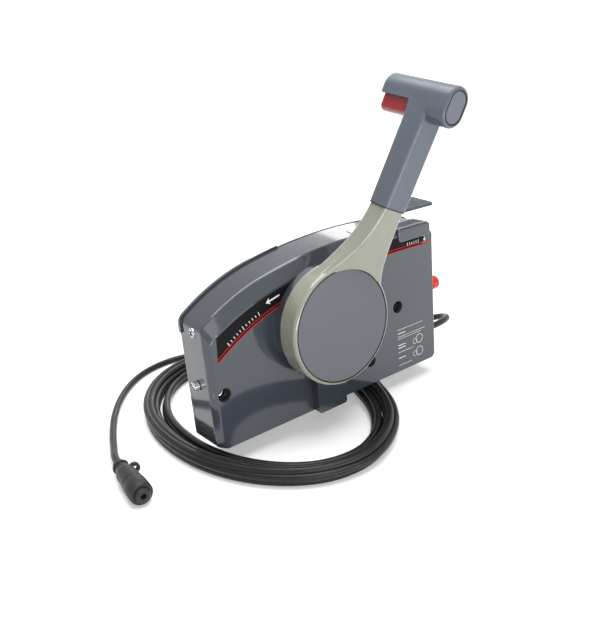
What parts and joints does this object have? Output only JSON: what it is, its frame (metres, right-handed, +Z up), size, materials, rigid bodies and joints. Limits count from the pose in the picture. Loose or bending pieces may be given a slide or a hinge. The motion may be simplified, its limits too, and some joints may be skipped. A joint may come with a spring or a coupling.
{
  "type": "boat throttle control lever",
  "caption": "Side-mount boat throttle and shift lever: arched control box, round hub, angled arm with T-grip and trigger, fast-idle lever, stop button and coiled cable.",
  "frame": {"origin": "on the mounting face, where the axis of the lever shaft meets it", "axes": "+Y into the panel that the box is screwed to, +X towards the stern, +Z up"},
  "size_m": [0.3567, 0.2994, 0.2659],
  "materials": {
    "housing": "glossy moulded bluish grey",
    "arm": "satin beige-grey enamel on die-cast aluminium",
    "cap": "satin grey moulding",
    "grip": "satin bluish grey moulding",
    "grip_cap": "satin bluish grey moulding",
    "trigger_red": "deep red gloss moulding",
    "button_red": "bright red moulding",
    "steel": "machined steel",
    "chrome": "plated steel",
    "brass": "sintered bronze",
    "rubber": "black rubber",
    "cable": "black rubber-sheathed cable",
    "black_plastic": "black moulding"
  },
  "bodies": {
    "box": {"front_housing": "housing", "back_plate": "housing", "bolt_sleeve_forward": "chrome", "bolt_sleeve_aft": "chrome", "bolt_sleeve_lower": "chrome", "shift_pivot_pin": "steel", "throttle_pivot_pin": "steel", "idle_pivot_pin": "steel", "shaft_bush": "brass", "neutral_lock_ring": "steel", "detent_holder": "black_plastic", "detent_ball": "steel", "end_screw": "chrome", "stop_switch": "black_plastic", "stop_switch_nut": "black_plastic", "cable_grommet": "rubber", "cable_lead": "cable", "cable_coil": "cable", "cable_tail": "cable", "connector_boot": "rubber", "connector_body": "black_plastic", "connector_seal": "rubber", "connector_ring": "black_plastic", "connector_plug": "black_plastic"},
    "lever": {"control_arm": "arm", "hub_cap": "cap", "drive_shaft": "steel", "drive_pinion": "steel", "detent_plate": "steel", "hub_washer": "steel", "hub_bolt": "steel", "grip": "grip", "grip_end_cap": "grip_cap"},
    "trigger": {"trigger": "trigger_red", "lock_rod": "steel"},
    "shift_sector": {"shift_sector": "steel"},
    "fast_idle": {"fast_idle_lever": "housing"},
    "throttle_arm": {"throttle_arm": "steel"},
    "stop_button": {"stop_button": "button_red"},
    "friction_screw": {"friction_screw": "chrome"}
  },
  "joints": [
    {"name": "lever_swing", "type": "hinge", "parent": "box", "child": "lever", "pos_m": [0, 0, 0], "axis": [0, 1, 0], "range_deg": [-90, 60]},
    {"name": "trigger_squeeze", "type": "slide", "parent": "lever", "child": "trigger", "axis": [0.3894, -0.1754, 0.9042], "range_m": [0, 0.006], "stiffness_N_per_m": 300, "springref_m": -0.01},
    {"name": "shift_sector_turn", "type": "hinge", "parent": "box", "child": "shift_sector", "pos_m": [-0.054, 0, 0], "axis": [0, 1, 0], "range_deg": [-30, 45]},
    {"name": "fast_idle_lift", "type": "hinge", "parent": "box", "child": "fast_idle", "pos_m": [0.066, 0, 0.0425], "axis": [0, -1, 0], "range_deg": [0, 30]},
    {"name": "throttle_arm_turn", "type": "hinge", "parent": "box", "child": "throttle_arm", "pos_m": [0.058, 0, 0.004], "axis": [0, -1, 0], "range_deg": [0, 24]},
    {"name": "stop_button_press", "type": "slide", "parent": "box", "child": "stop_button", "axis": [-1, 0, 0], "range_m": [0, 0.003], "stiffness_N_per_m": 900, "springref_m": -0.003},
    {"name": "friction_screw_turn", "type": "hinge", "parent": "box", "child": "friction_screw", "pos_m": [-0.102, -0.0145, -0.0276], "axis": [1, 0, 0], "range_deg": [-180, 180]}
  ],
  "couplings": [
    {"joint": "shift_sector_turn", "follows": "lever_swing", "ratio": -0.5},
    {"joint": "throttle_arm_turn", "follows": "fast_idle_lift", "ratio": 0.8}
  ]
}
